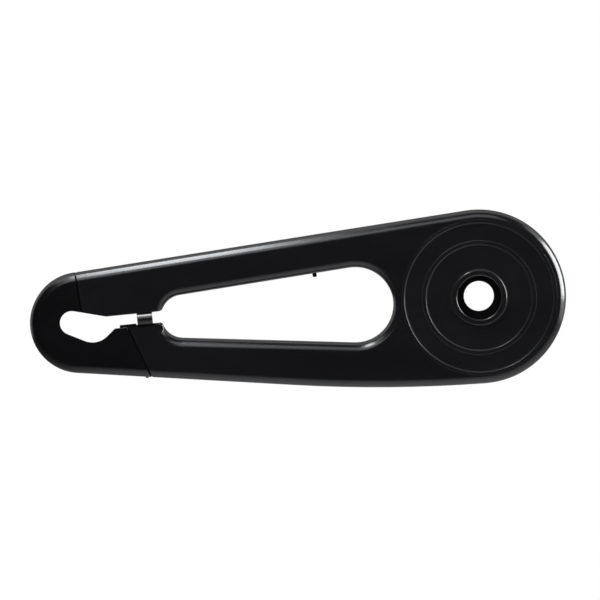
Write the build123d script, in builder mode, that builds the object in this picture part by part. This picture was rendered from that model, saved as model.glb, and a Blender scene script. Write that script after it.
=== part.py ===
from build123d import *
import os
from math import asin, atan2, cos, degrees, hypot, radians, sin, sqrt

# Closed chain case of a city bicycle, clipped together from five plastic mouldings.
# It hangs in the XZ plane as on the bicycle: +X to the front wheel, +Z up, -Y outwards from the frame.
# The origin is on the bottom bracket axis, on the seat that bears against the frame.
# A height is measured outwards from that seat, so a height h lies at y = -h.

# Side view of the case
FRONT_R = 100.5
REAR_R = 58.0
REAR_AXLE_BEHIND = 462.0
REAR_AXLE_BELOW = 30.3
BELLY_FALL = 3.2
BELLY_R = 1700.0

# Window between the upper and the lower chain run
WINDOW_FRONT_BEHIND = 143.3
WINDOW_FRONT_BELOW = 9.7
WINDOW_FRONT_R = 44.2
WINDOW_REAR_AHEAD = 119.2
WINDOW_REAR_UP = 7.3
WINDOW_REAR_R = 25.5

# Heights, wall and roundings
FACE_H = 32.0
PARTING_H = 9.0
BACK_H = 1.5
WALL = 2.4
EDGE_R = 10.0
BACK_BEVEL = 2.2
FIT = 0.25

# Axle slot in the rear cap, placed from the rear axle
NOSE_BACK = 9.1
NOSE_UP = 0.6
NOSE_R = 13.9
SAG_AHEAD = 14.5
SAG_UP = 2.2
SAG_R = 24.1
FLANK_ANGLE = 45.0
KNEE_AHEAD = 30.7
KNEE_UP = 8.1

# Gap between the arms, from the slot's knee to the window
GAP_RISE = 5.6
GAP_WIDTH = 14.8
GAP_WALL_AHEAD = 16.0
GAP_CORNER = 1.5

# Seams of the rear cap and the tongue under it
SEAM_TOP_AHEAD = 1.6
SEAM_TOP_UP = 13.5
SEAM_LOW_AHEAD = 55.3
SEAM_LOW_UP = -4.8
SEAM_LOW_LEAN = 25.8
SEAM_GAP = 0.9
SEAM_BEVEL = 0.5
TONGUE_L = 10.0
TONGUE_T = 1.8
ROOT_L = 5.0

# Strip of the tongue that shows along the gap
STRIP_BEHIND = 9.0
STRIP_L = 19.0
STRIP_RISE = 2.5
STRIP_DEPTH = 14.0

# Barb under the lower arm that locks the rear cap
BARB_BEHIND = 5.6
BARB_W = 4.4
BARB_RISE = 1.4
BARB_LOW_H = 13.0
BARB_L = 7.0
BARB_PLAY = 0.5

# Stud on the window's upper wall
STUD_BEHIND = 41.0
STUD_W = 4.8
STUD_L = 4.5
STUD_BEVEL = 1.0
STUD_H = 17.0

# Crank cover, dished in two steps from its rim to the hub lip
COVER_HOLE_R = 88.0
COVER_RIM_IN_R = 86.6
COVER_RIM_R = 90.4
COVER_RIM_RISE = 0.5
COVER_STEP_EASE = 0.4
OUTER_DISH = 0.5
INNER_DISH = 0.9
BEAD_R = 63.8
BEAD_W = 4.6
BEAD_RISE = 0.5
BEAD_SLOPE = 1.4
HUB_HOLE_R = 25.5
HUB_LIP_R = 32.0
HUB_LIP_RISE = 2.6
HUB_COLLAR_L = 8.0
COVER_HOOKS = 4
COVER_HOOK_W = 9.0
COVER_HOOK_L = 5.5
COVER_BARB = 0.9

# Bottom bracket seat
BRACKET_R = 17.5
SEAT_R = 27.0
SEAT_L = 6.0

# Cut-out of the inner half round the rear hub
HUB_CLEAR_R = 52.0

# Snap hooks between the halves
HOOK_W = 12.0
HOOK_L = 9.0
HOOK_T = 2.0
HOOK_BARB = 1.0
HOOK_BARB_L = 3.0
POCKET_PLAY = 0.4

# Bridge clip across the gap
CLIP_AHEAD = 44.0
CLIP_W = 17.8
CLIP_T = 1.8
CLIP_CREST = 1.2
CLIP_FOOT = 8.0
CLIP_PLAY = 0.4
CLIP_CATCH = 1.0
CLIP_CATCH_L = 2.0


def polar(centre, radius, angle):
    """Point at an angle on a circle in the side view."""
    return (centre[0] + radius * cos(radians(angle)), centre[1] + radius * sin(radians(angle)))


def tangent_normal(small, small_r, large, large_r, side):
    """Angle of the outward normal of the line that touches both circles, side +1 above and -1 below."""
    run = large[0] - small[0]
    rise = large[1] - small[1]
    spread = degrees(asin((large_r - small_r) / hypot(run, rise)))
    return degrees(atan2(rise, run)) + side * (90 + spread)


AXIS = (0.0, 0.0)
REAR_AXLE = (-REAR_AXLE_BEHIND, -REAR_AXLE_BELOW)
WINDOW_FRONT = (-WINDOW_FRONT_BEHIND, -WINDOW_FRONT_BELOW)
TOP_NORMAL = tangent_normal(REAR_AXLE, REAR_R, AXIS, FRONT_R, 1)
BELLY_NORMAL = -90 - BELLY_FALL

# The belly arc touches the straight bottom edge and the front end, so its centre follows from both
belly_start = polar(REAR_AXLE, REAR_R - BELLY_R, BELLY_NORMAL)
along = (cos(radians(BELLY_FALL)), -sin(radians(BELLY_FALL)))
half = belly_start[0] * along[0] + belly_start[1] * along[1]
rest = hypot(*belly_start) ** 2 - (BELLY_R - FRONT_R) ** 2
slide = -half - sqrt(half ** 2 - rest)
BELLY_CENTRE = (belly_start[0] + slide * along[0], belly_start[1] + slide * along[1])
BELLY_END = degrees(atan2(-BELLY_CENTRE[1], -BELLY_CENTRE[0]))

WINDOW_REAR = (REAR_AXLE[0] + WINDOW_REAR_AHEAD, REAR_AXLE[1] + WINDOW_REAR_UP)
WINDOW_TOP = tangent_normal(WINDOW_REAR, WINDOW_REAR_R, WINDOW_FRONT, WINDOW_FRONT_R, 1)
WINDOW_LOW = tangent_normal(WINDOW_REAR, WINDOW_REAR_R, WINDOW_FRONT, WINDOW_FRONT_R, -1)

NOSE = (REAR_AXLE[0] - NOSE_BACK, REAR_AXLE[1] + NOSE_UP)
SAG = (REAR_AXLE[0] + SAG_AHEAD, REAR_AXLE[1] + SAG_UP)
KNEE = (REAR_AXLE[0] + KNEE_AHEAD, REAR_AXLE[1] + KNEE_UP)
GAP_ALONG = (cos(radians(GAP_RISE)), sin(radians(GAP_RISE)))
GAP_ACROSS = (-GAP_ALONG[1], GAP_ALONG[0])
SEAM_TOP = (REAR_AXLE[0] + SEAM_TOP_AHEAD, REAR_AXLE[1] + SEAM_TOP_UP)
SEAM_LOW = (REAR_AXLE[0] + SEAM_LOW_AHEAD, REAR_AXLE[1] + SEAM_LOW_UP)


def gap_point(ahead, up):
    """Point measured from the knee along the gap's upper edge and square to it."""
    return (
        KNEE[0] + ahead * GAP_ALONG[0] + up * GAP_ACROSS[0],
        KNEE[1] + ahead * GAP_ALONG[1] + up * GAP_ACROSS[1],
    )


def case_face(inset, height):
    """Side view of the case with its window, drawn in by the inset all round, at a height."""
    with BuildSketch(Plane.XZ.offset(height)) as face:
        with BuildLine():
            front = CenterArc(AXIS, FRONT_R - inset, TOP_NORMAL, BELLY_END - TOP_NORMAL)
            belly = CenterArc(BELLY_CENTRE, BELLY_R - inset, BELLY_END, BELLY_NORMAL - BELLY_END)
            rear = CenterArc(REAR_AXLE, REAR_R - inset, BELLY_NORMAL + 360, TOP_NORMAL - BELLY_NORMAL - 360)
            Line(belly @ 1, rear @ 0)
            Line(rear @ 1, front @ 0)
        make_face()
        with BuildLine():
            ahead = CenterArc(WINDOW_FRONT, WINDOW_FRONT_R + inset, WINDOW_LOW, WINDOW_TOP - WINDOW_LOW)
            behind = CenterArc(WINDOW_REAR, WINDOW_REAR_R + inset, WINDOW_TOP, 360 + WINDOW_LOW - WINDOW_TOP)
            Line(ahead @ 1, behind @ 0)
            Line(behind @ 1, ahead @ 0)
        make_face(mode=Mode.SUBTRACT)
    return face.sketch


def moulding(inset, low):
    """Form of the case drawn in by the inset, from a height up to its face.

    The outer form has rounded front edges. An inner one has bevels that leave the full wall behind them.
    """
    with BuildPart() as form:
        extrude(case_face(inset, low), amount=FACE_H - inset - low)
        front_edges = form.faces().sort_by(Axis.Y)[0].edges()
        if inset:
            chamfer(front_edges, (2 - sqrt(2)) * (EDGE_R - inset))
        else:
            fillet(front_edges, EDGE_R)
    return form.part


def rear_zone(shift):
    """Block that holds all behind the two seams, with the seams moved to the front by the shift."""
    up = (cos(radians(TOP_NORMAL)), sin(radians(TOP_NORMAL)))
    down = (sin(radians(SEAM_LOW_LEAN)), -cos(radians(SEAM_LOW_LEAN)))
    top = (SEAM_TOP[0] + shift * up[1], SEAM_TOP[1] - shift * up[0])
    low = (SEAM_LOW[0] - shift * down[1], SEAM_LOW[1] + shift * down[0])
    reach = 2 * REAR_R
    inside = GAP_WIDTH / 3
    with BuildPart() as zone:
        with BuildSketch(Plane.XZ.offset(-FACE_H)):
            Polygon(
                (top[0] + reach * up[0], top[1] + reach * up[1]),
                (top[0] - inside * up[0], top[1] - inside * up[1]),
                (low[0] - inside * down[0], low[1] - inside * down[1]),
                (low[0] + reach * down[0], low[1] + reach * down[1]),
                (REAR_AXLE[0] - reach, REAR_AXLE[1] - reach),
                (REAR_AXLE[0] - reach, REAR_AXLE[1] + reach),
            )
        extrude(amount=3 * FACE_H)
    return zone.part


def seam_edges(piece, shift):
    """Edges of a piece's face that lie on the two seams."""
    up = radians(TOP_NORMAL)
    lean = radians(SEAM_LOW_LEAN)
    found = []
    lines = piece.edges().filter_by(GeomType.LINE)
    for edge in lines.filter_by_position(Axis.Y, -FACE_H - FIT, -FACE_H + FIT):
        mid = edge.center()
        from_top = (mid.X - SEAM_TOP[0]) * sin(up) - (mid.Z - SEAM_TOP[1]) * cos(up) - shift
        from_low = (mid.X - SEAM_LOW[0]) * cos(lean) + (mid.Z - SEAM_LOW[1]) * sin(lean) - shift
        if min(abs(from_top), abs(from_low)) < FIT / 2:
            found.append(edge)
    return found


# Cutter for the axle slot and the gap, through the whole depth
nose_run = hypot(KNEE[0] - NOSE[0], KNEE[1] - NOSE[1])
nose_top = degrees(atan2(KNEE[1] - NOSE[1], KNEE[0] - NOSE[0])) + 90 - degrees(asin(NOSE_R / nose_run))
nose_low = tangent_normal(NOSE, NOSE_R, SAG, SAG_R, -1)
flank_start = polar(SAG, SAG_R, FLANK_ANGLE - 90)
gap_low = gap_point(0, -GAP_WIDTH)
flank_drop = (flank_start[0] - gap_low[0]) * GAP_ACROSS[0] + (flank_start[1] - gap_low[1]) * GAP_ACROSS[1]
flank_run = -flank_drop / sin(radians(FLANK_ANGLE - GAP_RISE))
flank_end = polar(flank_start, flank_run, FLANK_ANGLE)
gap_end = (WINDOW_REAR[0] - KNEE[0]) * GAP_ALONG[0] + (WINDOW_REAR[1] - KNEE[1]) * GAP_ALONG[1]
gap_side = (WINDOW_REAR[0] - KNEE[0]) * GAP_ACROSS[0] + (WINDOW_REAR[1] - KNEE[1]) * GAP_ACROSS[1]
gap_corners = [
    gap_point(gap_end - sqrt(WINDOW_REAR_R ** 2 - (gap_side - up) ** 2), up) for up in (0, -GAP_WIDTH)
]
with BuildPart() as slot:
    with BuildSketch(Plane.XZ.offset(-FACE_H)):
        with BuildLine():
            upper = Line(gap_point(gap_end, 0), KNEE)
            Line(KNEE, polar(NOSE, NOSE_R, nose_top))
            nose = CenterArc(NOSE, NOSE_R, nose_top, 360 + nose_low - nose_top)
            sag = CenterArc(SAG, SAG_R, nose_low, FLANK_ANGLE - 90 - nose_low)
            Line(nose @ 1, sag @ 0)
            Polyline(sag @ 1, flank_end, gap_point(gap_end, -GAP_WIDTH), upper @ 0)
        make_face()
    extrude(amount=3 * FACE_H)


def gap_block(margin, low, high):
    """Block over the closed stretch of the gap, wider than it by the margin on both sides."""
    with BuildPart() as block:
        with BuildSketch(Plane.XZ.offset(low)):
            Polygon(
                gap_point(GAP_WALL_AHEAD, margin),
                gap_point(gap_end, margin),
                gap_point(gap_end, -GAP_WIDTH - margin),
                gap_point(GAP_WALL_AHEAD, -GAP_WIDTH - margin),
            )
        extrude(amount=high - low)
    return block.part


# Places of the snap hooks: along the straight edges of the rim and round the front end
straight_edges = [
    (REAR_AXLE, REAR_R, AXIS, FRONT_R, TOP_NORMAL, 1, (0.3, 0.8)),
    (REAR_AXLE, REAR_R, BELLY_CENTRE, BELLY_R, BELLY_NORMAL, 1, (0.55, 0.95)),
    (WINDOW_REAR, WINDOW_REAR_R, WINDOW_FRONT, WINDOW_FRONT_R, WINDOW_TOP, -1, (0.4,)),
    (WINDOW_REAR, WINDOW_REAR_R, WINDOW_FRONT, WINDOW_FRONT_R, WINDOW_LOW, -1, (0.5,)),
]
front_angles = (50, 0, -50)


def standing_plane(point, height, inward):
    """Plane that stands on the side view, with x along the inward direction and y outwards from the frame."""
    return Plane(origin=(point[0], -height, point[1]), x_dir=(inward[0], 0, inward[1]),
                 z_dir=(inward[1], 0, -inward[0]))


def rim_plane(point, normal, side):
    """Standing plane on the inner face of the rim wall at the parting."""
    inward = polar(AXIS, -side, normal)
    inner_face = (point[0] + WALL * inward[0], point[1] + WALL * inward[1])
    return standing_plane(inner_face, PARTING_H, inward)


hook_planes = [rim_plane(polar(AXIS, FRONT_R, angle), angle, 1) for angle in front_angles]
for rear, rear_r, front, front_r, normal, side, places in straight_edges:
    a = polar(rear, rear_r, normal)
    b = polar(front, front_r, normal)
    for place in places:
        spot = (a[0] + place * (b[0] - a[0]), a[1] + place * (b[1] - a[1]))
        hook_planes.append(rim_plane(spot, normal, side))

# Barb position: behind the point where the lower seam meets the bottom edge
seam_down = (sin(radians(SEAM_LOW_LEAN)), -cos(radians(SEAM_LOW_LEAN)))
belly_out = polar(AXIS, 1, BELLY_NORMAL)
seam_depth = REAR_R - (SEAM_LOW_AHEAD * belly_out[0] + SEAM_LOW_UP * belly_out[1])
seam_length = seam_depth / (seam_down[0] * belly_out[0] + seam_down[1] * belly_out[1])
barb_at = (
    SEAM_LOW[0] + seam_length * seam_down[0] - BARB_BEHIND * along[0],
    SEAM_LOW[1] + seam_length * seam_down[1] - BARB_BEHIND * along[1],
)
barb_plane = Plane(
    origin=(barb_at[0], -BARB_LOW_H, barb_at[1]), x_dir=(along[0], 0, along[1]), z_dir=(0, -1, 0)
)

# Tongue that runs on under the rear cap, with its root inside the outer shell
with BuildPart() as tongue:
    add(moulding(WALL + FIT, PARTING_H))
    add(rear_zone(SEAM_GAP / 2), mode=Mode.INTERSECT)

with BuildPart() as root:
    add(moulding(WALL, PARTING_H))
    add(rear_zone(ROOT_L), mode=Mode.INTERSECT)
    add(rear_zone(SEAM_GAP / 2), mode=Mode.SUBTRACT)
    add(tongue.part)
    add(moulding(WALL + FIT + TONGUE_T, PARTING_H - WALL), mode=Mode.SUBTRACT)
    add(rear_zone(-TONGUE_L), mode=Mode.SUBTRACT)

# Stud on the window's upper wall, a short square peg with a bevelled end
stud_foot = polar(WINDOW_FRONT, WINDOW_FRONT_R + WALL / 2, WINDOW_TOP)
stud_shift = polar(AXIS, STUD_BEHIND, WINDOW_TOP + 90)
stud_out = polar(AXIS, -1, WINDOW_TOP)
with BuildPart() as stud:
    stud_at = (stud_foot[0] + stud_shift[0], -STUD_H, stud_foot[1] + stud_shift[1])
    with BuildSketch(Plane(origin=stud_at, x_dir=(0, 1, 0), z_dir=(stud_out[0], 0, stud_out[1]))):
        Rectangle(STUD_W, STUD_W)
    extrude(amount=WALL / 2 + STUD_L)
    chamfer(stud.faces().sort_by(Axis.Z)[0].edges(), STUD_BEVEL)

# Walls along the gap, notched for the feet of the bridge clip
disc_back_h = FACE_H - WALL
clip_foot_h = disc_back_h - CLIP_T
clip_at = gap_point(CLIP_AHEAD, -GAP_WIDTH / 2)
with BuildPart() as gap_walls:
    add(gap_block(WALL, PARTING_H, FACE_H))
    add(moulding(0, PARTING_H), mode=Mode.INTERSECT)
    add(rear_zone(SEAM_GAP / 2), mode=Mode.SUBTRACT)
    with BuildSketch(standing_plane(clip_at, 0, GAP_ACROSS)):
        with Locations((0, (disc_back_h + clip_foot_h - CLIP_PLAY) / 2)):
            Rectangle(GAP_WIDTH + 4 * WALL, CLIP_T + CLIP_PLAY)
    extrude(amount=CLIP_W / 2 + CLIP_PLAY, both=True, mode=Mode.SUBTRACT)

# Outer half: a deep moulding with rounded edges, open towards the frame
seam_ahead = (SEAM_LOW[0] - KNEE[0]) * GAP_ALONG[0] + (SEAM_LOW[1] - KNEE[1]) * GAP_ALONG[1]
strip_start = seam_ahead - STRIP_BEHIND
strip_front_h = FACE_H - WALL - FIT
with BuildPart() as outer_shell:
    add(moulding(0, PARTING_H))
    add(moulding(WALL, PARTING_H - WALL), mode=Mode.SUBTRACT)
    with BuildSketch(Plane.XZ.offset(FACE_H - 2 * WALL)):
        Circle(COVER_HOLE_R)
    extrude(amount=3 * WALL, mode=Mode.SUBTRACT)
    add(rear_zone(SEAM_GAP / 2), mode=Mode.SUBTRACT)
    add(root.part)
    add(gap_walls.part)
    add(slot.part, mode=Mode.SUBTRACT)
    for x, z in gap_corners:
        upright = outer_shell.edges().filter_by(Axis.Y)
        chamfer(upright.sort_by_distance((x, -PARTING_H - EDGE_R / 2, z))[0], GAP_CORNER)
    chamfer(seam_edges(outer_shell, SEAM_GAP / 2), SEAM_BEVEL)
    # Strip of the tongue that stands up along the gap's lower edge
    with BuildSketch(Plane.XZ.offset(strip_front_h - STRIP_DEPTH)):
        Polygon(
            gap_point(strip_start, -GAP_WIDTH - TONGUE_T),
            gap_point(strip_start + STRIP_L, -GAP_WIDTH - TONGUE_T),
            gap_point(strip_start + STRIP_L, STRIP_RISE - GAP_WIDTH),
            gap_point(strip_start, STRIP_RISE - GAP_WIDTH),
        )
    extrude(amount=STRIP_DEPTH)
    # Barb under the lower arm
    with BuildSketch(barb_plane):
        Polygon(
            (-BARB_W / 2, WALL + FIT + TONGUE_T / 2),
            (-BARB_W / 2, 0),
            (-BARB_W / 4, -BARB_RISE),
            (BARB_W / 4, -BARB_RISE),
            (BARB_W / 2, 0),
            (BARB_W / 2, WALL + FIT + TONGUE_T / 2),
        )
    extrude(amount=BARB_L)
    add(stud.part)
    # Pockets that take the snap hooks of the inner half
    with BuildSketch(*hook_planes):
        with Locations((0, HOOK_L - HOOK_BARB_L / 2)):
            Rectangle(2 * (HOOK_BARB + FIT), HOOK_BARB_L + 2 * POCKET_PLAY)
    extrude(amount=HOOK_W / 2 + POCKET_PLAY, both=True, mode=Mode.SUBTRACT)

# Rear cap: the round end with the axle slot, open towards the frame where the sprocket sits
with BuildPart() as rear_cap:
    add(moulding(0, BACK_H))
    add(moulding(WALL, BACK_H - WALL), mode=Mode.SUBTRACT)
    add(rear_zone(-SEAM_GAP / 2), mode=Mode.INTERSECT)
    add(slot.part, mode=Mode.SUBTRACT)
    chamfer(seam_edges(rear_cap, -SEAM_GAP / 2), SEAM_BEVEL)
    with BuildSketch(barb_plane.offset(-BARB_PLAY)):
        Rectangle(BARB_W + 2 * BARB_PLAY, 2 * (WALL + FIT))
    extrude(amount=BARB_L + 2 * BARB_PLAY, mode=Mode.SUBTRACT)

# Inner half: a shallow tray with the bottom bracket seat and the snap hooks
floor_h = BACK_H + WALL
with BuildPart() as tray_walls:
    add(gap_block(WALL, floor_h, PARTING_H))
    extrude(case_face(0, floor_h), amount=PARTING_H - floor_h, mode=Mode.INTERSECT)

with BuildPart() as inner_shell:
    extrude(case_face(0, BACK_H), amount=PARTING_H - BACK_H)
    chamfer(inner_shell.faces().sort_by(Axis.Y)[-1].edges(), BACK_BEVEL)
    extrude(case_face(WALL, floor_h), amount=PARTING_H, mode=Mode.SUBTRACT)
    add(tray_walls.part)
    add(rear_zone(SEAM_GAP / 2), mode=Mode.SUBTRACT)
    add(slot.part, mode=Mode.SUBTRACT)
    with BuildSketch(Plane.XZ.offset(-FACE_H)):
        with Locations(REAR_AXLE):
            Circle(HUB_CLEAR_R)
    extrude(amount=3 * FACE_H, mode=Mode.SUBTRACT)
    for x, z in gap_corners:
        upright = inner_shell.edges().filter_by(Axis.Y)
        chamfer(upright.sort_by_distance((x, -PARTING_H + WALL, z))[0], GAP_CORNER)
    with BuildSketch(*hook_planes):
        Polygon(
            (FIT, floor_h - PARTING_H),
            (FIT + HOOK_T, floor_h - PARTING_H),
            (FIT + HOOK_T, HOOK_L),
            (FIT, HOOK_L),
            (-HOOK_BARB, HOOK_L - HOOK_BARB_L / 2),
            (-HOOK_BARB, HOOK_L - HOOK_BARB_L),
            (FIT, HOOK_L - HOOK_BARB_L),
        )
    extrude(amount=HOOK_W / 2, both=True)
    with BuildSketch(Plane.XZ):
        Circle(SEAT_R)
    extrude(amount=SEAT_L)
    with BuildSketch(Plane.XZ):
        Circle(BRACKET_R)
    extrude(amount=SEAT_L, mode=Mode.SUBTRACT)

# Crank cover: a turned, dished disc with a bead and a rolled hub lip, held by snap hooks behind the face
disc_r = COVER_HOLE_R - FIT
collar_h = FACE_H - HUB_COLLAR_L
lip_w = HUB_LIP_R - HUB_HOLE_R
lip_top_h = FACE_H + HUB_LIP_RISE
rim_top_h = FACE_H + COVER_RIM_RISE
outer_dish_h = FACE_H - OUTER_DISH
inner_dish_h = FACE_H - INNER_DISH
bead_in_r = BEAD_R - BEAD_W / 2
bead_out_r = BEAD_R + BEAD_W / 2
bead_top_h = outer_dish_h + BEAD_RISE
cover_hook_planes = [
    standing_plane(AXIS, 0, polar(AXIS, 1, 360 * i / COVER_HOOKS)) for i in range(COVER_HOOKS)
]
with BuildPart() as crank_cover:
    with BuildSketch(standing_plane(AXIS, 0, (1, 0))):
        Polygon(
            (HUB_HOLE_R, collar_h),
            (HUB_HOLE_R, FACE_H),
            (HUB_HOLE_R + lip_w / 4, lip_top_h),
            (HUB_LIP_R - lip_w / 3, lip_top_h),
            (HUB_LIP_R, inner_dish_h),
            (bead_in_r, inner_dish_h),
            (bead_in_r + COVER_STEP_EASE, bead_top_h),
            (bead_out_r - BEAD_SLOPE, bead_top_h),
            (bead_out_r, outer_dish_h),
            (COVER_RIM_IN_R, outer_dish_h),
            (COVER_RIM_IN_R + COVER_STEP_EASE, rim_top_h),
            (COVER_RIM_R, FACE_H),
            (disc_r, FACE_H),
            (disc_r, disc_back_h),
            (HUB_HOLE_R + WALL, disc_back_h),
            (HUB_HOLE_R + WALL, collar_h),
        )
    revolve(axis=Axis.Y)
    with BuildSketch(*cover_hook_planes):
        Polygon(
            (disc_r - HOOK_T, disc_back_h),
            (disc_r - HOOK_T, disc_back_h - COVER_HOOK_L),
            (disc_r, disc_back_h - COVER_HOOK_L),
            (COVER_HOLE_R + COVER_BARB, disc_back_h - COVER_HOOK_L / 2),
            (COVER_HOLE_R + COVER_BARB, disc_back_h - FIT),
            (disc_r, disc_back_h - FIT),
            (disc_r, disc_back_h),
        )
    extrude(amount=COVER_HOOK_W / 2, both=True)

# Bridge clip: a bowed strip across the gap, each foot pushed through a notch until it catches behind the wall
clip_half = GAP_WIDTH / 2 - CLIP_PLAY
clip_crest_h = FACE_H + CLIP_CREST
bow_rise = clip_crest_h - disc_back_h
bow_r = (clip_half ** 2 + bow_rise ** 2) / (2 * bow_rise)
bow_centre_h = clip_crest_h - bow_r
catch_at = GAP_WIDTH / 2 + WALL + CLIP_PLAY
catch_h = clip_foot_h - CLIP_CATCH
clip_inner_half = sqrt((bow_r - CLIP_T) ** 2 - (clip_foot_h - bow_centre_h) ** 2)
with BuildPart() as bridge_clip:
    with BuildSketch(standing_plane(clip_at, 0, GAP_ACROSS)):
        with BuildLine():
            bow = ThreePointArc((-clip_half, disc_back_h), (0, clip_crest_h), (clip_half, disc_back_h))
            hollow = ThreePointArc(
                (clip_inner_half, clip_foot_h), (0, clip_crest_h - CLIP_T), (-clip_inner_half, clip_foot_h)
            )
            Polyline(
                bow @ 1,
                (clip_half + CLIP_FOOT, disc_back_h),
                (clip_half + CLIP_FOOT, clip_foot_h),
                (catch_at + CLIP_CATCH_L, clip_foot_h),
                (catch_at, catch_h),
                (catch_at, clip_foot_h),
                hollow @ 0,
            )
            Polyline(
                hollow @ 1,
                (-catch_at, clip_foot_h),
                (-catch_at, catch_h),
                (-catch_at - CLIP_CATCH_L, clip_foot_h),
                (-clip_half - CLIP_FOOT, clip_foot_h),
                (-clip_half - CLIP_FOOT, disc_back_h),
                bow @ 0,
            )
        make_face()
    extrude(amount=CLIP_W / 2, both=True)

outer_shell.part.label = "outer_shell"
inner_shell.part.label = "inner_shell"
rear_cap.part.label = "rear_cap"
crank_cover.part.label = "crank_cover"
bridge_clip.part.label = "bridge_clip"

os.makedirs("parts", exist_ok=True)
for piece in (outer_shell, inner_shell, rear_cap, crank_cover, bridge_clip):
    export_step(piece.part, f"parts/{piece.part.label}.step")
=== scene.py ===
import math

import bmesh
import bpy
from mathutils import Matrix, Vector


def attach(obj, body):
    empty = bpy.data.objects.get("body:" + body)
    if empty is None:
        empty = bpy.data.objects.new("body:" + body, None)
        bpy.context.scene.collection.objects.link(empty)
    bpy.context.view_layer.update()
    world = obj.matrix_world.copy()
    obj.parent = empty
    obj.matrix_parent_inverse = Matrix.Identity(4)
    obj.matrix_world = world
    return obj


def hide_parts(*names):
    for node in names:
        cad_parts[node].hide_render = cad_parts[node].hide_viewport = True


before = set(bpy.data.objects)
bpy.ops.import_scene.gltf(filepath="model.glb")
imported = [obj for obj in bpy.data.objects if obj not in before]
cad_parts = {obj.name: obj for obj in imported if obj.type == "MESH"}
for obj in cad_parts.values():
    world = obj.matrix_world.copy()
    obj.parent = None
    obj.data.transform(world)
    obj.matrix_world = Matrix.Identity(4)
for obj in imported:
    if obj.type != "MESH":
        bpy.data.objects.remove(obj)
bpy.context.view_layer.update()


# Inner shell: the shallow half of the case that lies against the bicycle frame.
# Black plastic from a spark-eroded mould tool, so its skin has a very fine even grain.
# The seat round its hole is clamped at the bottom bracket, and hooks along the rim hold the outer half.
def new_group(name, inputs, outputs):
    """Empty shader node group with float inputs and outputs, and the sockets that its ends offer."""
    tree = bpy.data.node_groups.new(name, "ShaderNodeTree")
    for label, value in inputs.items():
        socket = tree.interface.new_socket(label, in_out="INPUT", socket_type="NodeSocketFloat")
        socket.default_value = value
    for label in outputs:
        tree.interface.new_socket(label, in_out="OUTPUT", socket_type="NodeSocketFloat")
    return tree, tree.nodes.new("NodeGroupInput").outputs, tree.nodes.new("NodeGroupOutput").inputs


def plug(tree, socket, value):
    """Sets a socket to a value, or links it to another node's output."""
    if isinstance(value, bpy.types.NodeSocket):
        tree.links.new(value, socket)
    else:
        socket.default_value = value


def add_node(tree, kind, settings=None, **sockets):
    """Node with its settings, and its inputs plugged by their names."""
    node = tree.nodes.new(kind)
    for key, value in (settings or {}).items():
        setattr(node, key, value)
    for label, value in sockets.items():
        plug(tree, node.inputs[label.replace("_", " ")], value)
    return node


def math_node(tree, operation, first, second=0.0, clamp=False):
    """Output of a math node on two values or links."""
    node = add_node(tree, "ShaderNodeMath", {"operation": operation, "use_clamp": clamp})
    plug(tree, node.inputs[0], first)
    plug(tree, node.inputs[1], second)
    return node.outputs[0]


def vector_value(tree, operation, *vectors):
    """Value that a vector math node gives for one or two linked vectors."""
    node = add_node(tree, "ShaderNodeVectorMath", {"operation": operation})
    for socket, vector in zip(node.inputs, vectors):
        tree.links.new(vector, socket)
    return node.outputs["Value"]


def spread(tree, value, span, onto=(0.0, 1.0)):
    """Output of a smooth map of a value from one span onto another."""
    node = add_node(tree, "ShaderNodeMapRange", {"interpolation_type": "SMOOTHSTEP"}, Value=value,
                    From_Min=span[0], From_Max=span[1], To_Min=onto[0], To_Max=onto[1])
    return node.outputs["Result"]


# A mix node's two inputs and its output, by the kind of data that it mixes.
MIX_SOCKETS = {"RGBA": (6, 7, 2), "VECTOR": (4, 5, 1)}


def mixed(tree, kind, amount, under, over):
    """Output of a mix of two colours or two vectors by an amount."""
    node = add_node(tree, "ShaderNodeMix", {"data_type": kind}, Factor=amount)
    first, second, blended = MIX_SOCKETS[kind]
    plug(tree, node.inputs[first], under)
    plug(tree, node.inputs[second], over)
    return node.outputs[blended]


def object_place(tree):
    """Place on the piece, in metres."""
    return tree.nodes.new("ShaderNodeTexCoord").outputs["Object"]


def noise(tree, place, scale, detail, roughness=0.5, distortion=0.0):
    """Output of a noise texture at a place."""
    node = add_node(tree, "ShaderNodeTexNoise", Vector=place, Scale=scale, Detail=detail,
                    Roughness=roughness, Distortion=distortion)
    return node.outputs["Fac"]


FLOW_STRETCH = (4.0, 14.0, 14.0)
FLOW_SCALE = 2.0
FLOW_SPAN = (0.32, 0.68)
PATCHES_PER_METRE = 38.0
PATCH_SPAN = (0.35, 0.7)


def mould_grain_group():
    """Skin of a spark-eroded mould: fine pits, slow flow marks along the case, and duller patches."""
    tree, given, result = new_group("mould_grain", {"Pits per metre": 1500.0},
                                    ("Height", "Flow", "Dullness"))
    place = object_place(tree)
    pits = noise(tree, place, given["Pits per metre"], detail=3.0, roughness=0.6)
    cells = add_node(tree, "ShaderNodeTexVoronoi", {"feature": "SMOOTH_F1"}, Vector=place,
                     Scale=given["Pits per metre"], Smoothness=0.6)
    rough_pits = math_node(tree, "MULTIPLY", pits, cells.outputs["Distance"])
    stretched = add_node(tree, "ShaderNodeMapping", Vector=place, Scale=FLOW_STRETCH)
    flow = noise(tree, stretched.outputs["Vector"], FLOW_SCALE, detail=4.0, distortion=0.6)
    patches = noise(tree, place, PATCHES_PER_METRE, detail=5.0, roughness=0.65)
    tree.links.new(math_node(tree, "ADD", pits, rough_pits), result["Height"])
    tree.links.new(spread(tree, flow, FLOW_SPAN), result["Flow"])
    tree.links.new(spread(tree, patches, PATCH_SPAN), result["Dullness"])
    return tree


CORNER_SAMPLES = 6
TURN_SPAN = (0.99, 0.8)
SCUFFS_PER_METRE = 420.0
SCUFF_SPAN = (0.42, 0.62)
SCUFF_SHARES = (0.15, 1.0)


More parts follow.
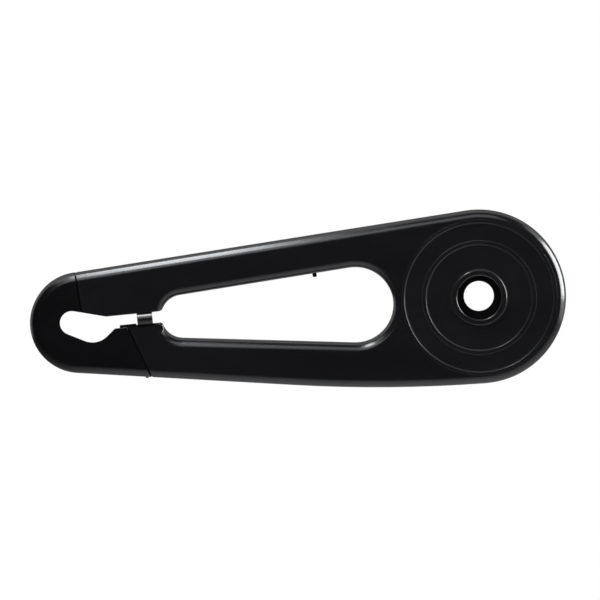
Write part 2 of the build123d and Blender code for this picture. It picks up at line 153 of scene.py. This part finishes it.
def edge_rub_group():
    """Where corners have been rubbed: the turn of the surface near an edge, broken up by fine scuffs."""
    tree, given, result = new_group("edge_rub", {"Reach": 0.0012}, ("Mask",))
    softened = add_node(tree, "ShaderNodeBevel", {"samples": CORNER_SAMPLES}, Radius=given["Reach"])
    flat = tree.nodes.new("ShaderNodeNewGeometry").outputs["Normal"]
    turn = vector_value(tree, "DOT_PRODUCT", softened.outputs["Normal"], flat)
    scuffs = noise(tree, object_place(tree), SCUFFS_PER_METRE, detail=6.0, roughness=0.7)
    edge = spread(tree, turn, TURN_SPAN)
    broken = spread(tree, scuffs, SCUFF_SPAN, SCUFF_SHARES)
    tree.links.new(math_node(tree, "MULTIPLY", edge, broken), result["Mask"])
    return tree


UPWARD_SPAN = (0.55, 1.0)
SPECKS_PER_METRE = 900.0
SPECK_SPAN = (0.5, 0.72)


def shelf_dust_group():
    """Thin dust that has settled on what faces up."""
    tree, given, result = new_group("shelf_dust", {"Cover": 1.0}, ("Mask",))
    normal = tree.nodes.new("ShaderNodeNewGeometry").outputs["Normal"]
    facing = add_node(tree, "ShaderNodeSeparateXYZ", Vector=normal)
    specks = noise(tree, object_place(tree), SPECKS_PER_METRE, detail=8.0, roughness=0.75)
    upward = spread(tree, facing.outputs["Z"], UPWARD_SPAN)
    scattered = spread(tree, specks, SPECK_SPAN)
    lying = math_node(tree, "MULTIPLY", upward, scattered)
    tree.links.new(math_node(tree, "MULTIPLY", lying, given["Cover"], clamp=True), result["Mask"])
    return tree


# The mouth is the gap between the two arms: its middle, and how far its trimmed edges reach.
MOUTH = (-0.387, -0.03, -0.0355)
MOUTH_REACH = (0.024, 1.0, 0.0085)
MOUTH_SPAN = (0.75, 1.05)
SKY_SAMPLES = 16
SHUT_SPAN = (0.99, 0.90)


def crevice_group():
    """Seams and inner corners, where the light is shut out, as a mask for painted shade, and the mouth's
    edges, level with the face.
    """
    tree, given, result = new_group("crevice", {"Reach": 0.002, "Matt": 0.0, "Trim": 0.0},
                                    ("Mask", "Dull", "Level"))
    open_sky = add_node(tree, "ShaderNodeAmbientOcclusion", {"samples": SKY_SAMPLES},
                        Distance=given["Reach"])
    shut = spread(tree, open_sky.outputs["AO"], SHUT_SPAN)
    from_mouth = add_node(tree, "ShaderNodeMapping", {"vector_type": "TEXTURE"}, Location=MOUTH,
                          Scale=MOUTH_REACH, Vector=object_place(tree))
    away = vector_value(tree, "LENGTH", from_mouth.outputs["Vector"])
    near_mouth = spread(tree, away, MOUTH_SPAN, onto=(1.0, 0.0))
    trimmed = math_node(tree, "MULTIPLY", given["Trim"], near_mouth)
    scuffed = math_node(tree, "MULTIPLY", shut, given["Matt"])
    crisp = math_node(tree, "SUBTRACT", shut, scuffed)
    tree.links.new(shut, result["Mask"])
    tree.links.new(scuffed, result["Dull"])
    tree.links.new(math_node(tree, "MAXIMUM", crisp, trimmed), result["Level"])
    return tree


MOULD_GRAIN = mould_grain_group()
EDGE_RUB = edge_rub_group()
SHELF_DUST = shelf_dust_group()
CREVICE = crevice_group()
DUST_GREY = (0.16, 0.155, 0.15, 1.0)
# Near black for the painted shade in seams and inner corners, where the light is shut out.
PAINTED_SHADE_BLACK = (0.0008, 0.0008, 0.0008, 1.0)
PLASTIC_IOR = 1.5
FLOW_LIFT = 1.25
RUB_SHADE = 0.25
RUB_POLISH = 0.06
DUST_MATT = 0.3
GLOSS_DRIFT = 0.01
CORNER_R = 0.0002
PIT_STRENGTH = 0.5
OUTWARDS = (0.0, -1.0, 0.0)


def moulded_black(name, deep, worn, gloss, pits, pit_depth, edge, dust, crevice, matt=0.0, trim=0.0):
    """Black moulded plastic: two near shades, fine pits, duller patches, rubbed edges, a little dust and
    painted shade in seams and corners.
    """
    material = bpy.data.materials.new(name)
    material.use_nodes = True
    tree = material.node_tree
    surface = tree.nodes["Principled BSDF"].inputs
    surface["IOR"].default_value = PLASTIC_IOR
    grain = add_node(tree, "ShaderNodeGroup", {"node_tree": MOULD_GRAIN}, Pits_per_metre=pits).outputs
    rub = add_node(tree, "ShaderNodeGroup", {"node_tree": EDGE_RUB}, Reach=edge).outputs["Mask"]
    lying = add_node(tree, "ShaderNodeGroup", {"node_tree": SHELF_DUST}, Cover=dust).outputs["Mask"]
    shut = add_node(tree, "ShaderNodeGroup", {"node_tree": CREVICE}, Reach=crevice, Matt=matt,
                    Trim=trim).outputs

    lighter = tuple(FLOW_LIFT * c for c in deep[:3]) + (1.0,)
    skin = mixed(tree, "RGBA", grain["Flow"], deep, lighter)
    rubbed = mixed(tree, "RGBA", math_node(tree, "MULTIPLY", rub, RUB_SHADE), skin, worn)
    dusty = mixed(tree, "RGBA", lying, rubbed, DUST_GREY)
    # Seams and inner corners are painted near black: painted shade where the light is shut out.
    tree.links.new(mixed(tree, "RGBA", shut["Mask"], dusty, PAINTED_SHADE_BLACK), surface["Base Color"])

    dull = spread(tree, grain["Dullness"], (0.0, 1.0), (gloss - GLOSS_DRIFT, gloss + GLOSS_DRIFT))
    duller = math_node(tree, "ADD", dull, math_node(tree, "MULTIPLY", lying, DUST_MATT))
    shine = math_node(tree, "MULTIPLY", rub, RUB_POLISH)
    polished = math_node(tree, "SUBTRACT", duller, shine, clamp=True)
    tree.links.new(math_node(tree, "MAXIMUM", polished, shut["Dull"]), surface["Roughness"])

    softened = add_node(tree, "ShaderNodeBevel", {"samples": CORNER_SAMPLES}, Radius=CORNER_R)
    to_world = {"vector_type": "NORMAL", "convert_from": "OBJECT", "convert_to": "WORLD"}
    face = add_node(tree, "ShaderNodeVectorTransform", to_world, Vector=OUTWARDS)
    levelled = mixed(tree, "VECTOR", shut["Level"], softened.outputs["Normal"], face.outputs["Vector"])
    bump = add_node(tree, "ShaderNodeBump", Strength=PIT_STRENGTH, Distance=pit_depth,
                    Height=grain["Height"], Normal=levelled)
    tree.links.new(bump.outputs["Normal"], surface["Normal"])
    return material


PATCH_GAP = 0.00001
CREASE_ANGLE = math.radians(30.0)


def dress(node, material):
    """Gives a CAD node its finish, and evens its shading where two smooth faces meet."""
    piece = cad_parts[node]
    piece.data.materials.clear()
    piece.data.materials.append(material)
    joined = piece.modifiers.new("joined_patches", "WELD")
    joined.merge_threshold = PATCH_GAP
    creased = piece.modifiers.new("creases", "EDGE_SPLIT")
    creased.split_angle = CREASE_ANGLE
    evened = piece.modifiers.new("even_normals", "WEIGHTED_NORMAL")
    evened.mode = "CORNER_ANGLE"
    evened.keep_sharp = True


INNER_BLACK = moulded_black(
    "inner_black", deep=(0.0044, 0.0044, 0.0049, 1.0), worn=(0.05, 0.05, 0.052, 1.0), gloss=0.22,
    pits=1300.0, pit_depth=0.00004, edge=0.0012, dust=0.10, crevice=0.0025, matt=1.0)
dress("inner_shell", INNER_BLACK)


# Outer shell: the deep half with the face that shows, moulded in one shot with its rounded edges.
# The same black plastic as the inner half, from a finer and glossier side of the tool.
# Its tongue and barb carry the rear cap, and the peg on the window's upper wall is part of it.
OUTER_BLACK = moulded_black(
    "outer_black", deep=(0.0058, 0.0058, 0.0065, 1.0), worn=(0.03, 0.03, 0.032, 1.0), gloss=0.19,
    pits=1900.0, pit_depth=0.00003, edge=0.0010, dust=0.05, crevice=0.0030, trim=1.0)
dress("outer_shell", OUTER_BLACK)


# Rear cap: the round end with the axle slot, which comes off to take the wheel out.
# A moulding of its own from another tool, so its black is a touch deeper than the shell's.
# It is pushed over the outer shell's tongue until the barb under the lower arm snaps in.
CAP_BLACK = moulded_black(
    "cap_black", deep=(0.0029, 0.0029, 0.0034, 1.0), worn=(0.035, 0.035, 0.037, 1.0), gloss=0.20,
    pits=1700.0, pit_depth=0.00003, edge=0.0010, dust=0.04, crevice=0.0030)
dress("rear_cap", CAP_BLACK)


# Bridge clip: a bowed strip that closes the gap between the two arms, snapped in once the chain is on.
# Thin glossy black plastic, springy, with a foot through each wall of the gap.
CLIP_BLACK = moulded_black(
    "clip_black", deep=(0.0080, 0.0080, 0.0088, 1.0), worn=(0.04, 0.04, 0.042, 1.0), gloss=0.20,
    pits=2200.0, pit_depth=0.00003, edge=0.0006, dust=0.04, crevice=0.0005)
dress("bridge_clip", CLIP_BLACK)


# Crank cover: a round disc snapped into the face in front of the chainring, by four hooks behind its edge.
# Black moulding, dished in two steps: a flat rim, a low band half-way in, and a lip round the crank's hole.
HUB_R = 0.0255
LIP_R = 0.0320
BAND_IN_R, BAND_OUT_R = 0.0615, 0.0661
RIM_IN_R, RIM_OUT_R = 0.0866, 0.0904
DISC_R = 0.08775
FACE_H = 0.0320
DISC_T = 0.0024
COLLAR_L = 0.0080
LIP_RISE = 0.0026
RIM_RISE = 0.0005
RIM_EDGE_RISE = 0.0002
OUTER_DISH = 0.0005
INNER_DISH = 0.0009
BAND_TILT = 0.00037
BAND_EASE = 0.00035
LIP_IN_ROUND, LIP_OUT_ROUND = 0.0016, 0.0012
LIP_FOOT_ROUND = 0.0005
SHOULDER_ROUND = 0.0007
STEP_ROUND = 0.0002
RIM_EDGE_ROUND, RIM_FOOT_ROUND = 0.0001, 0.00005
BACK_ROUND = 0.0003
COVER_SIDES = 288
CORNER_STEPS = 6
SHARP_ANGLE = math.radians(35.0)


def turned_profile(corners):
    """Points along a closed profile of (radius, height, rounding) corners, each turned as an arc."""
    points = []
    for i, (r, h, rounding) in enumerate(corners):
        corner = Vector((r, h))
        before = (Vector(corners[i - 1][:2]) - corner).normalized()
        after = (Vector(corners[(i + 1) % len(corners)][:2]) - corner).normalized()
        half = before.angle(after) / 2
        centre = corner + (before + after).normalized() * rounding / math.sin(half)
        start = corner + before * rounding / math.tan(half) - centre
        end = corner + after * rounding / math.tan(half) - centre
        for step in range(CORNER_STEPS + 1):
            points.append(centre + rounding * start.slerp(end, step / CORNER_STEPS))
    return points


def turned(form, profile, sides):
    """Adds the solid that a profile makes about the crank's axis, with heights outwards from the frame."""
    rings = []
    for i in range(sides):
        angle = 2 * math.pi * i / sides
        across, up = math.cos(angle), math.sin(angle)
        rings.append([form.verts.new((r * across, -h, r * up)) for r, h in profile])
    for ring, following in zip(rings, rings[1:] + rings[:1]):
        for j in range(len(profile)):
            k = (j + 1) % len(profile)
            form.faces.new((ring[j], ring[k], following[k], following[j]))


def snap_hook(form, angle, outline, width):
    """Adds a hook of an outline of (radius, height) points, standing across a radius of the disc."""
    along = Vector((math.cos(angle), 0.0, math.sin(angle)))
    across = Vector((-math.sin(angle), 0.0, math.cos(angle)))
    ends = []
    for side in (-1, 1):
        shift = across * side * width / 2
        ends.append([form.verts.new(along * r + shift - Vector((0.0, h, 0.0))) for r, h in outline])
    form.faces.new(ends[0])
    form.faces.new(ends[1][::-1])
    for j in range(len(outline)):
        k = (j + 1) % len(outline)
        form.faces.new((ends[0][k], ends[0][j], ends[1][j], ends[1][k]))


def finished_mesh(name, form, material):
    """Object from a mesh in the making: normals turned out, smooth but for its sharp edges."""
    bmesh.ops.recalc_face_normals(form, faces=form.faces)
    mesh = bpy.data.meshes.new(name)
    form.to_mesh(mesh)
    form.free()
    mesh.polygons.foreach_set("use_smooth", [True] * len(mesh.polygons))
    mesh.set_sharp_from_angle(angle=SHARP_ANGLE)
    mesh.materials.append(material)
    piece = bpy.data.objects.new(name, mesh)
    bpy.context.scene.collection.objects.link(piece)
    return piece


back_h = FACE_H - DISC_T
collar_h = FACE_H - COLLAR_L
outer_h = FACE_H - OUTER_DISH
inner_h = FACE_H - INNER_DISH
cover_profile = turned_profile([
    (HUB_R, collar_h, BACK_ROUND),
    (HUB_R, FACE_H + LIP_RISE, LIP_IN_ROUND),
    (LIP_R, FACE_H + LIP_RISE, LIP_OUT_ROUND),
    (LIP_R, inner_h, LIP_FOOT_ROUND),
    (BAND_IN_R, inner_h, STEP_ROUND),
    (BAND_IN_R, FACE_H, SHOULDER_ROUND),
    (BAND_OUT_R - BAND_EASE, FACE_H - BAND_TILT, STEP_ROUND),
    (BAND_OUT_R, outer_h, STEP_ROUND),
    (RIM_IN_R, outer_h, STEP_ROUND),
    (RIM_IN_R, FACE_H + RIM_RISE, SHOULDER_ROUND),
    (RIM_OUT_R, FACE_H + RIM_EDGE_RISE, RIM_EDGE_ROUND),
    (RIM_OUT_R, FACE_H, RIM_FOOT_ROUND),
    (DISC_R, FACE_H, STEP_ROUND),
    (DISC_R, back_h, BACK_ROUND),
    (HUB_R + DISC_T, back_h, LIP_FOOT_ROUND),
    (HUB_R + DISC_T, collar_h, BACK_ROUND),
])
HOOKS = 4
HOOK_W = 0.0090
HOOK_L = 0.0055
HOOK_T = 0.0020
BARB_R = 0.0889
BARB_PLAY = 0.00025
hook_outline = [
    (DISC_R - HOOK_T, back_h),
    (DISC_R - HOOK_T, back_h - HOOK_L),
    (DISC_R, back_h - HOOK_L),
    (BARB_R, back_h - HOOK_L / 2),
    (BARB_R, back_h - BARB_PLAY),
    (DISC_R, back_h - BARB_PLAY),
    (DISC_R, back_h),
]
cover_form = bmesh.new()
turned(cover_form, cover_profile, COVER_SIDES)
for i in range(HOOKS):
    snap_hook(cover_form, 2 * math.pi * i / HOOKS, hook_outline, HOOK_W)

COVER_BLACK = moulded_black(
    "cover_black", deep=(0.0068, 0.0068, 0.0076, 1.0), worn=(0.03, 0.03, 0.032, 1.0), gloss=0.20,
    pits=1900.0, pit_depth=0.00004, edge=0.0008, dust=0.04, crevice=0.0015, matt=1.0)
cover = finished_mesh("cover_disc", cover_form, COVER_BLACK)
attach(cover, "root")
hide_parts("crank_cover")


# Studio: a pale paper floor well below the part, which hangs as on the bicycle before a white backdrop.
# Soft boxes stand above the rear end, in front at the left and the middle, at the right, and low down.
# The shine mirrors white flats at the sides, a dark room in front, and a floor with painted shade, darker
# to the left and the front.
FLOOR_AT = (-0.21, 0.0, -0.6)
FLOOR_R = 2.0
FLOOR_SIDES = 96
FLOOR_ROUGH = 0.9
# The floor's colour is graded by painted shade along these spans, from these levels.
PAPER_X_SPAN = (-1.0, 0.3)
PAINTED_SHADE_X_LEVELS = (0.15, 0.92)
PAPER_Y_SPAN = (-1.3, 0.1)
PAINTED_SHADE_Y_LEVELS = (0.1, 1.0)
WHITE_SPAN = (0.2, 0.9 * FLOOR_R)
WHITE_SHARES = (0.55, 1.0)
ROOM_GREY = (0.40, 0.40, 0.415, 1.0)
BACKDROP_WHITE = (1.0, 1.0, 1.0, 1.0)
FLAT_WHITE = (0.9, 0.9, 0.9, 1.0)
DARK_SIDE = (0.022, 0.022, 0.024, 1.0)
FLATS_SPAN = (-0.1, 0.2)
BEHIND_SPAN = (0.6, 0.85)
BEHIND_SHARES = (1.0, 0.15)
DAYLIGHT = (0.955, 0.972, 1.0)

floor_mesh = bpy.data.meshes.new("floor")
floor_form = bmesh.new()
bmesh.ops.create_circle(floor_form, cap_ends=True, segments=FLOOR_SIDES, radius=FLOOR_R)
floor_form.to_mesh(floor_mesh)
floor_form.free()
floor = bpy.data.objects.new("floor", floor_mesh)
floor.location = FLOOR_AT
bpy.context.scene.collection.objects.link(floor)


def shader_mix(tree, amount, first, second):
    """Output of a mix of two nodes' shaders by a linked amount."""
    node = tree.nodes.new("ShaderNodeMixShader")
    for socket, link in zip(node.inputs, (amount, first, second)):
        tree.links.new(link, socket)
    return node.outputs[0]


floor_paper = bpy.data.materials.new("floor_paper")
floor_paper.use_nodes = True
paper = floor_paper.node_tree
paper_surface = paper.nodes["Principled BSDF"]
paper_surface.inputs["Roughness"].default_value = FLOOR_ROUGH
spot = object_place(paper)
along = add_node(paper, "ShaderNodeSeparateXYZ", Vector=spot).outputs
# Painted shade on the floor: its colour darkens to the left and to the front.
from_left = spread(paper, along["X"], PAPER_X_SPAN, PAINTED_SHADE_X_LEVELS)
from_front = spread(paper, along["Y"], PAPER_Y_SPAN, PAINTED_SHADE_Y_LEVELS)
shade = math_node(paper, "MULTIPLY", from_left, from_front)
paper.links.new(shade, paper_surface.inputs["Base Color"])
seen = paper.nodes.new("ShaderNodeLightPath").outputs["Is Camera Ray"]
white = add_node(paper, "ShaderNodeEmission", Strength=1.0).outputs[0]
share = spread(paper, vector_value(paper, "LENGTH", spot), WHITE_SPAN, WHITE_SHARES)
lit = shader_mix(paper, math_node(paper, "MULTIPLY", seen, share), paper_surface.outputs[0], white)
below = paper.nodes.new("ShaderNodeNewGeometry").outputs["Backfacing"]
clear = paper.nodes.new("ShaderNodeBsdfTransparent").outputs[0]
open_below = shader_mix(paper, below, lit, clear)
paper.links.new(open_below, paper.nodes["Material Output"].inputs["Surface"])
floor.data.materials.append(floor_paper)

world = bpy.data.worlds.new("studio")
bpy.context.scene.world = world
world.use_nodes = True
sky = world.node_tree
room = sky.nodes["Background"]
room.inputs["Color"].default_value = ROOM_GREY
backdrop = add_node(sky, "ShaderNodeBackground", Color=BACKDROP_WHITE).outputs[0]
white_flats = add_node(sky, "ShaderNodeBackground", Color=FLAT_WHITE).outputs[0]
dark_side = add_node(sky, "ShaderNodeBackground", Color=DARK_SIDE).outputs[0]
ray = sky.nodes.new("ShaderNodeLightPath").outputs
direction = sky.nodes.new("ShaderNodeTexCoord").outputs["Generated"]
heading = add_node(sky, "ShaderNodeSeparateXYZ", Vector=direction).outputs
beside = spread(sky, heading["Y"], FLATS_SPAN)
behind = spread(sky, heading["Y"], BEHIND_SPAN, BEHIND_SHARES)
mirrored = shader_mix(sky, math_node(sky, "MULTIPLY", beside, behind), dark_side, white_flats)
glossy = shader_mix(sky, ray["Is Glossy Ray"], room.outputs[0], mirrored)
in_view = math_node(sky, "MAXIMUM", ray["Is Camera Ray"], ray["Is Transmission Ray"])
shown = shader_mix(sky, in_view, glossy, backdrop)
sky.links.new(shown, sky.nodes["World Output"].inputs["Surface"])


def soft_box(name, place, aim, width, height, power, shine_only=False):
    """Rectangular studio light turned to a point, which may show in the plastic's shine alone."""
    lamp = bpy.data.lights.new(name, "AREA")
    lamp.shape = "RECTANGLE"
    lamp.size = width
    lamp.size_y = height
    lamp.energy = power
    lamp.color = DAYLIGHT
    box = bpy.data.objects.new(name, lamp)
    box.location = place
    box.rotation_euler = (Vector(aim) - Vector(place)).to_track_quat("-Z", "Y").to_euler()
    box.visible_camera = False
    box.visible_diffuse = not shine_only
    bpy.context.scene.collection.objects.link(box)


# The glows and the box at the right show in the shine alone, which keeps the light level plain.
soft_box("box_above", place=(-0.53, -0.45, 1.0), aim=(-0.53, -0.45, 0.0),
         width=0.26, height=1.1, power=14.4)
soft_box("glow_above", place=(-0.75, -0.45, 1.02), aim=(-0.75, -0.45, 0.0),
         width=0.90, height=1.1, power=6.0, shine_only=True)
soft_box("box_left_front", place=(-0.65, -1.71, 1.03), aim=(-0.65, -0.02, 0.0),
         width=0.8, height=1.0, power=6.5)
soft_box("box_mid_front", place=(0.10, -1.36, 1.48), aim=(0.10, -0.02, 0.0),
         width=0.7, height=1.2, power=4.5)
soft_box("box_right", place=(0.95, -0.30, 0.33), aim=(0.0, -0.30, 0.33),
         width=0.9, height=0.78, power=42.0, shine_only=True)
soft_box("glow_right", place=(1.0, -0.30, 0.48), aim=(0.0, -0.30, 0.48),
         width=1.0, height=1.65, power=12.0, shine_only=True)
soft_box("box_below", place=(0.25, -0.5, -0.55), aim=(0.25, -0.5, 0.0),
         width=1.5, height=1.2, power=1.9)


# Camera: a long lens square to the face and a little above it, as in the photograph.
# It stands far off, so that the part shows almost without perspective.
FRAME_WIDTH = 0.6935
DISTANCE = 8.0
ELEVATION = math.radians(3.7)
TARGET = Vector((-0.2074, -0.032, -0.0029))

camera_data = bpy.data.cameras.new("camera")
camera_data.lens = camera_data.sensor_width * DISTANCE / FRAME_WIDTH
camera = bpy.data.objects.new("camera", camera_data)
back = Vector((0.0, -math.cos(ELEVATION), math.sin(ELEVATION)))
camera.location = TARGET + DISTANCE * back
camera.rotation_euler = (-back).to_track_quat("-Z", "Y").to_euler()
bpy.context.scene.collection.objects.link(camera)
bpy.context.scene.camera = camera
bpy.context.scene.view_settings.view_transform = "Standard"
